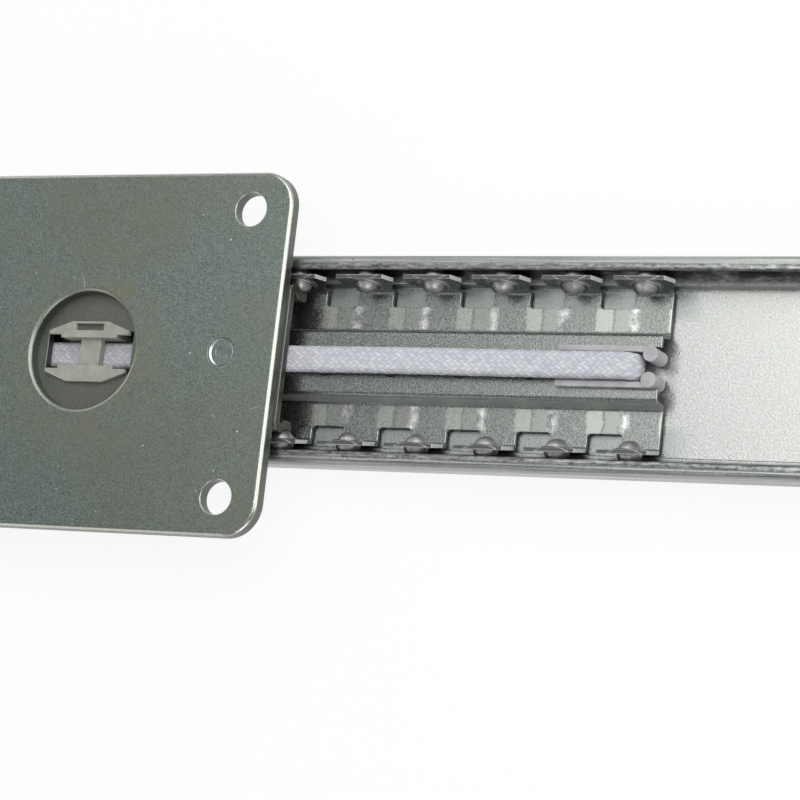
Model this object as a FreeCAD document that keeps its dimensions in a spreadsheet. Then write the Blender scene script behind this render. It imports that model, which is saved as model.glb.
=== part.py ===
import FreeCAD, Part
import math
import os
import Sketcher
from FreeCAD import Placement, Rotation, Vector

# Ball bearing linear slide: a rolled rail, a stamped ball cage that runs at half speed,
# a carriage with a mounting plate, and a braided cord loop that keeps the cage in step.
# Millimetres. X runs along the rail, Y across it, Z up from the rail's back face.

doc = FreeCAD.newDocument("LinearSlide")
dims = doc.addObject("Spreadsheet::Sheet", "dims")

# Driving dimensions
sizes = {
    # Balls and the raceways they share
    "ballDiameter": 6.35,
    "ballPitch": 19.05,
    "rowSpacing": 42.4,
    "ballHeight": 9.25,
    "raceClearance": 0.125,
    # Rolled rail
    "railLength": 540,
    "railWidth": 54.5,
    "railDepth": 12.8,
    "railSheet": 2.4,
    "lipOpening": 46.8,
    "lipRound": 0.5,
    "railFrontRound": 1.75,
    "railBackRound": 3.0,
    "railBendRound": 0.5,
    "railFootRound": 1.6,
    "railHolePitch": 150,
    "railHole": 6.6,
    "railHoleSink": 2.0,
    # End stops
    "stopInset": 14.4,
    "stopSheet": 2.0,
    "stopWidth": 30,
    "stopHeight": 10,
    "stopCorner": 3,
    "stopBend": 1.4,
    "stopEndGap": 2,
    "stopRivet": 4,
    "stopRivetHead": 7,
    "stopRivetHeadHeight": 1.4,
    "stopRivetSpacing": 18,
    "bufferThickness": 3,
    "bufferWidth": 24,
    "bufferHeight": 7,
    "bufferLift": 1.5,
    "bufferRound": 1.0,
    # Stamped cage
    "cageSheet": 1.0,
    "cageGap": 0.8,
    "hatHeight": 4.6,
    "hatWidth": 17.2,
    "hatLean": 7,
    "hatHole": 7.0,
    "tabLean": 10,
    "tabSetIn": 0.35,
    "tabStandOut": 0.2,
    "windowSpacing": 31.2,
    "windowTop": 6.0,
    "windowCorner": 1.1,
    "tabRootLeft": 4.4,
    "tabRootRight": 5.3,
    "tabWingLeft": 7.2,
    "tabWingRight": 8.1,
    "tabFrontRight": 5.9,
    "tabChamferDepth": 2.2,
    "wingLow": 8.8,
    "wingRoot": 7.8,
    "cageBend": 0.9,
    "collarHeight": 1.25,
    "collarBaseRadius": 4.4,
    "collarTopRadius": 3.55,
    "flareHeight": 1.0,
    "flareBaseRadius": 6.0,
    "flareTopRadius": 4.2,
    "tabCrown": 0.1,
    "ballHoleClearance": 0.15,
    # Carriage channel
    "carriageLength": 116,
    "carriageSheet": 2.2,
    "carriageGap": 0.7,
    "legInset": 2.1,
    "legDrop": 2.25,
    "legWaist": 3.2,
    "carriageBend": 2.4,
    "legRound": 0.6,
    # Mounting plate
    "plateLength": 115,
    "plateHeight": 95,
    "plateThickness": 3.5,
    "plateCorner": 9,
    "plateEdgeRound": 1.0,
    "plateHole": 9,
    "plateHoleAlong": 91,
    "plateHoleAcross": 75,
    "plateWindow": 31.5,
    "plateRivet": 7.6,
    "plateRivetSpacing": 83.4,
    "rivetDimple": 3.0,
    "rivetDimpleDepth": 0.3,
    "rivetChamfer": 0.3,
    "rivetFit": 0.02,
    # Cord and its guides
    "cordWidth": 7.0,
    "cordThickness": 3.0,
    "cordFit": 0.15,
    "cordSideFit": 0.25,
    "cordTopGap": 0.4,
    "turnInset": 9.0,
    "guideLength": 26.4,
    "guideBackLength": 18,
    "guideWall": 1.35,
    "guideRim": 0.6,
    "guideLobe": 1.9,
    "guideLobeRise": 0.8,
    "guideFloorGap": 1.6,
    "notchFit": 0.15,
    # Carriage cord clamp
    "clampLength": 17,
    "clampWall": 1.85,
    "clampFlangeLength": 24.6,
    "clampFlangeWidth": 16.1,
    "clampFlangeThickness": 1.2,
    "clampFlangeFlat": 11.0,
    "clampFlangeEnd": 11.2,
    "clampMouth": 9.2,
    "clampStrap": 6.1,
    "clampStrapDrop": 1.5,
    "clampLatchLength": 8.6,
    "clampLatchWidth": 1.85,
    "clampLatchInset": 0.55,
    "clampCap": 0.8,
    "clampSlotLength": 26,
    "clampSlotFit": 0.2,
    # Rail cord clamp
    "anchorLength": 16,
    "anchorWidth": 14,
    "anchorTop": 0.65,
    "anchorRivet": 2.4,
    "anchorRivetSpacing": 10.8,
}
for row, (alias, size) in enumerate(sizes.items(), start=1):
    dims.set(f"A{row}", alias)
    dims.set(f"B{row}", str(size))
    dims.setAlias(f"B{row}", alias)
doc.recompute()

stationsPerSide = 8                 # balls on each side of the middle one, in each row
overreach = 1.5                     # cutters run this many times the length of what they cut
closeEnough = 1e-3                  # millimetres, for finding an edge by its place

# Places that follow from the driving dimensions, as expressions
rowY = "dims.rowSpacing / 2"
raceRadius = "(dims.ballDiameter / 2 + dims.raceClearance)"
railHalf = "dims.railWidth / 2"
raceFloor = f"(dims.ballHeight - {raceRadius})"
railEnd = "dims.railLength / 2"
stopFace = f"({railEnd} - dims.stopInset)"
stripBack = "(dims.railSheet + dims.cageGap)"
stripFront = f"({stripBack} + dims.cageSheet)"
hatTop = f"({stripFront} + dims.hatHeight)"
hatUnder = f"({hatTop} - dims.cageSheet)"
tabTop = "(dims.railDepth + dims.tabStandOut)"
windowY = "dims.windowSpacing / 2"
cageHalf = f"({stationsPerSide} * dims.ballPitch + dims.tabRootRight)"
channelUnder = "(dims.railDepth + dims.carriageGap)"
channelTop = f"({channelUnder} + dims.carriageSheet)"
plateFront = f"({channelTop} + dims.plateThickness)"
legY = f"({rowY} - dims.legInset)"
frontRun = f"({channelUnder} - dims.cordTopGap - dims.cordThickness / 2)"
backRun = f"((dims.railSheet + {hatUnder}) / 2)"
loopMiddle = f"(({frontRun} + {backRun}) / 2)"
loopRadius = f"(({frontRun} - {backRun}) / 2)"
turnX = f"({cageHalf} - dims.turnInset)"
noseRadius = f"({loopRadius} - dims.cordThickness / 2 - dims.cordFit)"
channelY = "(dims.cordWidth / 2 + dims.cordSideFit)"
stopFootLength = "(dims.stopInset - dims.bufferThickness - dims.stopEndGap)"
stopRivetX = f"({railEnd} - dims.stopEndGap - ({stopFootLength} - dims.stopSheet) / 2)"


def value(expression):
    return float(dims.evalExpression(expression))


def negative(expression):
    return f"-({expression})"


def newBody(label):
    body = doc.addObject("PartDesign::Body", label)
    body.Label = label
    return body


def newSketch(body, role, name, offset="0"):
    plane = next(feature for feature in body.Origin.OriginFeatures if feature.Role == role)
    sketch = body.newObject("Sketcher::SketchObject", name)
    sketch.AttachmentSupport = [(plane, "")]
    sketch.MapMode = "FlatFace"
    sketch.setExpression("AttachmentOffset.Base.z", offset)
    return sketch


def bindConstraint(sketch, constraint, expression):
    index = sketch.addConstraint(constraint)
    sketch.setExpression(f"Constraints[{index}]", expression)


def pinPoint(sketch, geometry, position, across, up):
    for kind, expression in (("DistanceX", across), ("DistanceY", up)):
        pin = Sketcher.Constraint(kind, -1, 1, geometry, position, value(expression))
        bindConstraint(sketch, pin, expression)


def drawPolygon(sketch, corners):
    points = [Vector(value(across), value(up), 0) for across, up in corners]
    count = len(points)
    first = sketch.GeometryCount
    for i in range(count):
        sketch.addGeometry(Part.LineSegment(points[i], points[(i + 1) % count]))
    for i in range(count):
        following = first + (i + 1) % count
        sketch.addConstraint(Sketcher.Constraint("Coincident", first + i, 2, following, 1))
    for i, (across, up) in enumerate(corners):
        pinPoint(sketch, first + i, 1, across, up)


def drawRectangle(sketch, left, right, low, high):
    drawPolygon(sketch, [(left, low), (right, low), (right, high), (left, high)])


def drawCircle(sketch, across, up, radius):
    centre = Vector(value(across), value(up), 0)
    circle = sketch.addGeometry(Part.Circle(centre, Vector(0, 0, 1), value(radius)))
    pinPoint(sketch, circle, 3, across, up)
    bindConstraint(sketch, Sketcher.Constraint("Radius", circle, value(radius)), radius)


def drawSlot(sketch, halfSpan, up, radius):
    # Two half rounds joined by straight sides: the section of a flat braided cord
    span, height, round_ = value(halfSpan), value(up), value(radius)
    quarter = math.pi / 2
    normal = Vector(0, 0, 1)
    rightEnd = Part.Circle(Vector(span, height, 0), normal, round_)
    leftEnd = Part.Circle(Vector(-span, height, 0), normal, round_)
    right = sketch.addGeometry(Part.ArcOfCircle(rightEnd, -quarter, quarter))
    left = sketch.addGeometry(Part.ArcOfCircle(leftEnd, quarter, 3 * quarter))
    topStart, topEnd = Vector(span, height + round_, 0), Vector(-span, height + round_, 0)
    lowStart, lowEnd = Vector(-span, height - round_, 0), Vector(span, height - round_, 0)
    top = sketch.addGeometry(Part.LineSegment(topStart, topEnd))
    low = sketch.addGeometry(Part.LineSegment(lowStart, lowEnd))
    for one, oneEnd, other, otherEnd in ((right, 2, top, 1), (top, 2, left, 1),
                                         (left, 2, low, 1), (low, 2, right, 1)):
        sketch.addConstraint(Sketcher.Constraint("Tangent", one, oneEnd, other, otherEnd))
    pinPoint(sketch, right, 3, halfSpan, up)
    bindConstraint(sketch, Sketcher.Constraint("DistanceX", -1, 1, left, 3, -span), negative(halfSpan))
    bindConstraint(sketch, Sketcher.Constraint("Radius", right, round_), radius)


def drawCorner(sketch, across, up, alongSign, upSign):
    # What a rounded inner corner leaves standing: two straight sides and a hollow arc
    x, y, radius = value(across), value(up), value("dims.windowCorner")
    reachX = f"({across} + {alongSign} * dims.windowCorner)"
    reachY = f"({up} + {upSign} * dims.windowCorner)"
    farX, farY = Vector(value(reachX), y, 0), Vector(x, value(reachY), 0)
    centre = Vector(value(reachX), value(reachY), 0)
    root = Vector(x, y, 0)
    base = sketch.addGeometry(Part.LineSegment(root, farX))
    rise = sketch.addGeometry(Part.LineSegment(farY, root))
    towards = math.atan2(y - centre.y, 0)
    sideways = math.atan2(0, x - centre.x)
    turn = (sideways - towards) % (2 * math.pi)
    begin, finish = (towards, sideways) if turn < math.pi else (sideways, towards)
    circle = Part.Circle(centre, Vector(0, 0, 1), radius)
    arc = sketch.addGeometry(Part.ArcOfCircle(circle, begin, finish))
    baseEnd, riseEnd = (1, 2) if turn < math.pi else (2, 1)
    sketch.addConstraint(Sketcher.Constraint("Coincident", rise, 2, base, 1))
    sketch.addConstraint(Sketcher.Constraint("Coincident", base, 2, arc, baseEnd))
    sketch.addConstraint(Sketcher.Constraint("Coincident", rise, 1, arc, riseEnd))
    pinPoint(sketch, base, 1, across, up)
    pinPoint(sketch, arc, 3, reachX, reachY)
    bindConstraint(sketch, Sketcher.Constraint("DistanceX", -1, 1, base, 2, farX.x), reachX)
    bindConstraint(sketch, Sketcher.Constraint("DistanceY", -1, 1, rise, 1, farY.y), reachY)


def addPad(body, sketch, name, length, side="Symmetric"):
    pad = body.newObject("PartDesign::Pad", name)
    pad.Profile = sketch
    pad.SideType = side
    pad.setExpression("Length", length)
    doc.recompute()
    return pad


def addPocket(body, sketch, name, length, side="Symmetric", reverse=False):
    before = body.Shape.Volume
    pocket = body.newObject("PartDesign::Pocket", name)
    pocket.Profile = sketch
    pocket.SideType = side
    pocket.Reversed = reverse
    pocket.setExpression("Length", length)
    doc.recompute()
    if body.Shape.Volume >= before:
        raise ValueError(f"{body.Label}: {name} cuts nothing")
    return pocket


def near(one, other):
    return abs(one - other) < closeEnough


def pickEdges(shape, wanted):
    return [f"Edge{index}" for index, edge in enumerate(shape.Edges, start=1) if wanted(edge)]


def edgesAlongX(shape, places):
    # The straight edges along X that pass through the given (y, z) places
    def wanted(edge):
        box = edge.BoundBox
        straight = near(box.YLength, 0) and near(box.ZLength, 0)
        return straight and any(near(box.Center.y, y) and near(box.Center.z, z) for y, z in places)
    return pickEdges(shape, wanted)


def edgesAlongY(shape, x, z):
    # The straight edges along Y at the given place
    def wanted(edge):
        box = edge.BoundBox
        straight = near(box.XLength, 0) and near(box.ZLength, 0)
        return straight and near(box.Center.x, x) and near(box.Center.z, z)
    return pickEdges(shape, wanted)


def edgesAtX(shape, x):
    # The edges round the flat end face at x
    return pickEdges(shape, lambda edge: near(edge.BoundBox.XLength, 0) and near(edge.BoundBox.Center.x, x))


def edgesAlongZ(shape):
    return pickEdges(shape, lambda edge: near(edge.BoundBox.XLength, 0) and near(edge.BoundBox.YLength, 0))


def flatEdges(shape, z, radii, straight=False):
    # The edges in the plane at height z: round ones of the given radii, and straight ones if asked
    def wanted(edge):
        box = edge.BoundBox
        if not (near(box.ZLength, 0) and near(box.Center.z, z)):
            return False
        if hasattr(edge.Curve, "Radius"):
            return any(near(edge.Curve.Radius, radius) for radius in radii)
        return straight
    return pickEdges(shape, wanted)


def addFillet(body, name, edges, radius):
    base = body.Tip
    if not edges:
        raise ValueError(f"{body.Label}: {name} finds no edge")
    fillet = body.newObject("PartDesign::Fillet", name)
    fillet.Base = (base, edges)
    fillet.setExpression("Radius", radius)
    doc.recompute()
    return fillet


def addChamfer(body, name, edges, size):
    base = body.Tip
    chamfer = body.newObject("PartDesign::Chamfer", name)
    chamfer.Base = (base, edges)
    chamfer.setExpression("Size", size)
    doc.recompute()
    return chamfer


def bothSides(places):
    points = [(value(y), value(z)) for y, z in places]
    return points + [(-y, z) for y, z in points]


def mirrored(half):
    # A closed outline from its right half, listed from the middle of the front to the middle of the back
    return half + [(negative(y), z) for y, z in reversed(half)]


def newBox(name, x0, x1, y0, y1, z0, z1):
    box = doc.addObject("Part::Box", name)
    box.setExpression("Length", f"({x1}) - ({x0})")
    box.setExpression("Width", f"({y1}) - ({y0})")
    box.setExpression("Height", f"({z1}) - ({z0})")
    for axis, start in (("x", x0), ("y", y0), ("z", z0)):
        box.setExpression(f"Placement.Base.{axis}", start)
    return box


def newCylinder(name, x, y, z0, z1, radius):
    cylinder = doc.addObject("Part::Cylinder", name)
    cylinder.setExpression("Radius", radius)
    cylinder.setExpression("Height", f"({z1}) - ({z0})")
    for axis, start in (("x", x), ("y", y), ("z", z0)):
        cylinder.setExpression(f"Placement.Base.{axis}", start)
    return cylinder


def fuse(label, shapes):
    joined = doc.addObject("Part::MultiFuse", label)
    joined.Shapes = shapes
    joined.Refine = True
    joined.Label = label
    doc.recompute()
    return joined


def cut(label, base, tool):
    result = doc.addObject("Part::Cut", label)
    result.Base = base
    result.Tool = tool
    result.Refine = True
    result.Label = label
    doc.recompute()
    return result


def group(label, pieces):
    compound = doc.addObject("Part::Compound", label)
    compound.Links = pieces
    compound.Label = label
    doc.recompute()
    return compound


# Rail: one rolled strip, its two edges bent round the ball rows

def makeRail():
    body = newBody("rail")
    wallOuter = f"({rowY} + dims.railSheet)"
    floorBack = f"({raceFloor} - dims.railSheet)"
    lipY = "dims.lipOpening / 2"
    half = [(rowY, "dims.railSheet"), (rowY, "dims.ballHeight"), (lipY, "dims.ballHeight"),
            (lipY, "dims.railDepth"), (railHalf, "dims.railDepth"), (railHalf, floorBack),
            (wallOuter, floorBack), (wallOuter, "0")]
    profile = newSketch(body, "YZ_Plane", "railProfile")
    drawPolygon(profile, mirrored(half))
    addPad(body, profile, "railStrip", "dims.railLength")
    races = newSketch(body, "YZ_Plane", "railRaces")
    for side in (rowY, negative(rowY)):
        drawCircle(races, side, "dims.ballHeight", raceRadius)
    addPocket(body, races, "railRaceCut", f"dims.railLength * {overreach}")
    rounds = [
        ("railLipRound", [(lipY, "dims.railDepth")], "dims.lipRound"),
        ("railFrontRounds", [(railHalf, "dims.railDepth")], "dims.railFrontRound"),
        ("railBackRounds", [(railHalf, floorBack)], "dims.railBackRound"),
        ("railBendRounds", [(rowY, "dims.railSheet"), (rowY, raceFloor), (wallOuter, floorBack)],
         "dims.railBendRound"),
        ("railFootRounds", [(wallOuter, "0")], "dims.railFootRound"),
    ]
    for name, places, radius in rounds:
        addFillet(body, name, edgesAlongX(body.Shape, bothSides(places)), radius)
    fixings = newSketch(body, "XY_Plane", "railFixingHoles")
    for step in (-1.5, -0.5, 0.5, 1.5):
        drawCircle(fixings, f"{step} * dims.railHolePitch", "0", "dims.railHole / 2")
    addPocket(body, fixings, "railFixingCut", f"dims.railSheet * {2 * overreach}")
    sinks = flatEdges(body.Shape, value("dims.railSheet"), [value("dims.railHole / 2")])
    addChamfer(body, "railFixingSinks", sinks, "dims.railHoleSink")
    rivets = newSketch(body, "XY_Plane", "railRivetHoles")
    for side in (stopRivetX, negative(stopRivetX)):
        for across in ("dims.stopRivetSpacing / 2", "-dims.stopRivetSpacing / 2"):
            drawCircle(rivets, side, across, "dims.stopRivet / 2")
    for across in ("dims.anchorRivetSpacing / 2", "-dims.anchorRivetSpacing / 2"):
        drawCircle(rivets, "0", across, "dims.anchorRivet / 2")
    addPocket(body, rivets, "railRivetCut", f"dims.railSheet * {2 * overreach}")
    return body


# End stops: an angle riveted to the rail's web, with a rubber buffer on its inner face

def makeEndStop(name, sign):
    def place(x):
        return x if sign > 0 else negative(x)

    angleFace = f"({stopFace} + dims.bufferThickness)"
    angleBack = f"({angleFace} + dims.stopSheet)"
    footEnd = f"({railEnd} - dims.stopEndGap)"
    footTop = "(dims.railSheet + dims.stopSheet)"
    top = "(dims.railSheet + dims.stopHeight)"
    halfWidth = "dims.stopWidth / 2"
    bracket = newBody(f"end_stop_{name}")
    profile = newSketch(bracket, "XZ_Plane", f"{name}StopProfile")
    drawPolygon(profile, [(place(x), z) for x, z in (
        (angleFace, "dims.railSheet"), (footEnd, "dims.railSheet"), (footEnd, footTop),
        (angleBack, footTop), (angleBack, top), (angleFace, top))])
    addPad(bracket, profile, f"{name}StopStrip", "dims.stopWidth")
    addFillet(bracket, f"{name}StopCorners", edgesAlongX(bracket.Shape, bothSides([(halfWidth, top)])),
              "dims.stopCorner")
    bend = edgesAlongY(bracket.Shape, value(place(angleFace)), value("dims.railSheet"))
    addFillet(bracket, f"{name}StopBend", bend, "dims.stopBend")
    holes = newSketch(bracket, "XY_Plane", f"{name}StopHoles")
    rivetX = place(stopRivetX)
    rivets = []
    for across in ("dims.stopRivetSpacing / 2", "-dims.stopRivetSpacing / 2"):
        drawCircle(holes, rivetX, across, "dims.stopRivet / 2")
        shank = newCylinder(f"{name}Shank", rivetX, across, "0", footTop,
                            "dims.stopRivet / 2 - dims.rivetFit")
        head = newCylinder(f"{name}Head", rivetX, across, footTop, f"{footTop} + dims.stopRivetHeadHeight",
                           "dims.stopRivetHead / 2")
        rivets.append(fuse(f"{name}Rivet", [shank, head]))
    addPocket(bracket, holes, f"{name}StopHoleCut", f"{top} * {2 * overreach}")

    buffer = newBody(f"stop_buffer_{name}")
    low = "(dims.railSheet + dims.bufferLift)"
    high = f"({low} + dims.bufferHeight)"
    face = newSketch(buffer, "XZ_Plane", f"{name}BufferProfile")
    drawPolygon(face, [(place(x), z) for x, z in (
        (stopFace, low), (angleFace, low), (angleFace, high), (stopFace, high))])
    addPad(buffer, face, f"{name}BufferBlock", "dims.bufferWidth")
    soft = edgesAtX(buffer.Shape, value(place(stopFace)))
    addFillet(buffer, f"{name}BufferRounds", soft, "dims.bufferRound")
    return bracket, buffer, rivets


# Rail cord clamp: holds the cord's back run to the middle of the rail's web

def makeAnchor():
    halfLength = "dims.anchorLength / 2"
    halfWidth = "dims.anchorWidth / 2"
    cordLow = f"({backRun} - dims.cordThickness / 2 - dims.cordFit)"
    cordHigh = f"({backRun} + dims.cordThickness / 2 + dims.cordFit)"
    top = f"({cordHigh} + dims.anchorTop)"
    holes = []
    rivets = []
    for across in ("dims.anchorRivetSpacing / 2", "-dims.anchorRivetSpacing / 2"):
        holes.append(newCylinder("anchorHole", "0", across, "0", f"{top} * 2", "dims.anchorRivet / 2"))
        rivets.append(newCylinder("anchorRivet", "0", across, "0", top,
                                  "dims.anchorRivet / 2 - dims.rivetFit"))
    base = newBox("anchorBase", negative(halfLength), halfLength, negative(halfWidth), halfWidth,
                  "dims.railSheet", cordLow)
    block = newBox("anchorBlock", negative(halfLength), halfLength, negative(halfWidth), halfWidth,
                   cordLow, top)
    bore = newBox("anchorBore", f"-{halfLength} * {overreach}", f"{halfLength} * {overreach}",
                  negative(channelY), channelY, f"{cordLow} - dims.cordFit", cordHigh)
    drill = fuse("anchorHoles", holes)
    baseNode = cut("rail_clamp_base", base, drill)
    capNode = cut("rail_clamp_cap", block, fuse("anchorCutter", [bore] + holes))
    return baseNode, capNode, group("rail_clamp_rivets", rivets)


# Ball cage: a hat-shaped stamping whose edge tabs carry the balls

def makeCage():
    body = newBody("ball_cage")
    lean = "tan(dims.hatLean)"
    hatInner = f"(dims.hatWidth / 2 + dims.cageSheet * {lean} - dims.cageSheet / cos(dims.hatLean))"
    halfSheet = "dims.cageSheet / (2 * cos(dims.tabLean))"

    def tabSide(sign, z):
        return f"({rowY} - dims.tabSetIn {sign} {halfSheet} + ({z} - dims.ballHeight) * tan(dims.tabLean))"

    foot = f"(dims.hatWidth / 2 + dims.hatHeight * {lean})"
    footInner = f"({hatInner} + ({hatUnder} - {stripBack}) * {lean})"
    front = [("dims.hatWidth / 2", hatTop), (foot, stripFront),
             (tabSide("-", stripFront), stripFront), (tabSide("-", tabTop), tabTop)]
    back = [(tabSide("+", tabTop), tabTop), (tabSide("+", stripBack), stripBack),
            (footInner, stripBack), (hatInner, hatUnder)]
    profile = newSketch(body, "YZ_Plane", "cageProfile")
    drawPolygon(profile, mirrored(front + back))
    reach = f"({stationsPerSide} * dims.ballPitch + dims.tabWingRight)"
    addPad(body, profile, "cageStrip", f"2 * {reach}")
    bends = [(foot, stripFront), (tabSide("-", stripFront), stripFront), (hatInner, hatUnder)]
    addFillet(body, "cageInnerBends", edgesAlongX(body.Shape, bothSides(bends)), "dims.cageBend")
    turns = [("dims.hatWidth / 2", hatTop), (tabSide("+", stripBack), stripBack), (footInner, stripBack)]
    addFillet(body, "cageOuterBends", edgesAlongX(body.Shape, bothSides(turns)),
              "dims.cageBend + dims.cageSheet / 2")

    # Strip ends, guide notches and the row of round holes, all seen from the front
    ends = newSketch(body, "XY_Plane", "cageEnds")
    far = f"({reach} * {overreach})"
    notch = f"({turnX} - {noseRadius} - dims.notchFit)"
    notchY = f"({channelY} + dims.guideWall + dims.notchFit)"
    drawRectangle(ends, cageHalf, far, negative(windowY), windowY)
    drawRectangle(ends, negative(far), negative(cageHalf), negative(windowY), windowY)
    for step in range(-stationsPerSide + 1, stationsPerSide - 2 + 1):
        drawCircle(ends, f"{step + 0.5} * dims.ballPitch", "0", "dims.hatHole / 2")
    addPocket(body, ends, "cageEndCut", f"{tabTop} * {2 * overreach}")
    notches = newSketch(body, "XY_Plane", "cageNotches")
    drawRectangle(notches, notch, far, negative(notchY), notchY)
    drawRectangle(notches, negative(far), negative(notch), negative(notchY), notchY)
    addPocket(body, notches, "cageNotchCut", f"{tabTop} * {2 * overreach}")

    # Drawn collars on a flared foot, square to each leaning tab
    first = f"-{stationsPerSide} * dims.ballPitch"
    rows = [(name, sign, Rotation(Vector(1, 0, 0), sign * (90 - value("dims.tabLean"))))
            for name, sign in (("upper", 1), ("lower", -1))]
    cones = [("Collar", "dims.collarBaseRadius", "dims.collarTopRadius", "dims.collarHeight"),
             ("Flare", "dims.flareBaseRadius", "dims.flareTopRadius", "dims.flareHeight")]
    for name, sign, turn in rows:
        for part, base, top, height in cones:
            cone = body.newObject("PartDesign::AdditiveCone", f"{name}{part}")
            cone.setExpression("Radius1", base)
            cone.setExpression("Radius2", top)
            cone.setExpression("Height", height)
            placeTurned(cone, first, f"{sign} * {rowY}", "dims.ballHeight", turn)
            repeat(body, f"{name}{part}s", [cone], 2 * stationsPerSide + 1)

    # Windows and the gaps between tabs, repeated along both edges
    features = []
    firstTab = f"(-{stationsPerSide + 1} * dims.ballPitch)"
    nextTab = f"(-{stationsPerSide} * dims.ballPitch)"
    clear = f"({tabTop} + dims.tabStandOut)"
    gap = [(f"{firstTab} + dims.tabRootRight", "0"),
           (f"{firstTab} + dims.tabRootRight", "dims.windowTop"),
           (f"{firstTab} + dims.tabWingRight", f"{tabTop} - dims.tabChamferDepth"),
           (f"{firstTab} + dims.tabFrontRight", tabTop),
           (f"{firstTab} + dims.tabFrontRight", clear),
           (f"{nextTab} - dims.tabWingLeft", clear),
           (f"{nextTab} - dims.tabWingLeft", "dims.wingLow"),
           (f"{nextTab} - dims.tabRootLeft", "dims.wingRoot"),
           (f"{nextTab} - dims.tabRootLeft", "0")]
    for name, offset, reverse in (("upper", negative(windowY), False), ("lower", windowY, True)):
        outline = newSketch(body, "XZ_Plane", f"{name}Gap", offset)
        drawPolygon(outline, gap)
        pocket = body.newObject("PartDesign::Pocket", f"{name}GapCut")
        pocket.Profile = outline
        pocket.SideType = "One side"
        pocket.Reversed = reverse
        pocket.setExpression("Length", railHalf)
        features.append(pocket)
    doc.recompute()
    repeat(body, "cageGaps", features, 2 * stationsPerSide + 2)
    corners = newSketch(body, "XY_Plane", "windowCorners", stripBack)
    for side, edge in ((1, windowY), (-1, negative(windowY))):
        drawCorner(corners, f"({firstTab} + dims.ballPitch + dims.tabRootRight)", edge, 1, side)
        drawCorner(corners, f"({nextTab} + dims.ballPitch - dims.tabRootLeft)", edge, -1, side)
    addPad(body, corners, "windowCornerFill", "dims.cageSheet", "One side")
    repeat(body, "windowCornerFills", [body.Tip], 2 * stationsPerSide)

    # Ball seats: open on the rail's side, and closed in round the ball on the other
    seat = "dims.ballDiameter / 2 + dims.ballHoleClearance"
    outward = "dims.ballDiameter * cos(dims.tabLean)"
    below = "dims.ballDiameter * sin(dims.tabLean)"
    for name, sign, turn in rows:
        hole = body.newObject("PartDesign::SubtractiveCylinder", f"{name}BallHole")
        hole.setExpression("Radius", seat)
        hole.setExpression("Height", "dims.ballDiameter")
        placeTurned(hole, first, f"{sign} * ({rowY} + {outward})", f"dims.ballHeight - {below}", turn)
        repeat(body, f"{name}BallHoles", [hole], 2 * stationsPerSide + 1)
        hollow = body.newObject("PartDesign::SubtractiveSphere", f"{name}BallSeat")
        hollow.setExpression("Radius", seat)
        placeTurned(hollow, first, f"{sign} * {rowY}", "dims.ballHeight", turn)
        repeat(body, f"{name}BallSeats", [hollow], 2 * stationsPerSide + 1)
    crown = newSketch(body, "XY_Plane", "tabCrowns", f"{tabTop} + dims.tabCrown")
    drawRectangle(crown, negative(far), far, negative(railHalf), railHalf)
    addPocket(body, crown, "tabCrownTrim", railHalf, "One side", True)
    return body


def placeTurned(feature, x, y, z, turn):
    feature.Placement = Placement(Vector(0, 0, 0), turn)
    for axis, place in (("x", x), ("y", y), ("z", z)):
        feature.setExpression(f"Placement.Base.{axis}", place)


def repeat(body, name, features, count):
    axis = next(feature for feature in body.Origin.OriginFeatures if feature.Role == "X_Axis")
    pattern = body.newObject("PartDesign::LinearPattern", name)
    pattern.Originals = features
    pattern.Direction = (axis, [""])
    pattern.Occurrences = count
    pattern.setExpression("Length", f"{count - 1} * dims.ballPitch")
    body.Tip = pattern
    doc.recompute()
    return pattern


def makeBalls():
    balls = []
    for name, sign in (("upper", 1), ("lower", -1)):
        for station in range(-stationsPerSide, stationsPerSide + 1):
            label = f"ball_{name}_{station + stationsPerSide + 1:02d}"
            ball = doc.addObject("Part::Sphere", label)
            ball.Label = label
            ball.setExpression("Radius", "dims.ballDiameter / 2")
            ball.setExpression("Placement.Base.x", f"{station} * dims.ballPitch")
            ball.setExpression("Placement.Base.y", f"{sign} * {rowY}")
            ball.setExpression("Placement.Base.z", "dims.ballHeight")
            balls.append(ball)
    return balls


# Cord guides: nylon clips on the cage's ends, each with a round nose that the cord turns about

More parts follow.
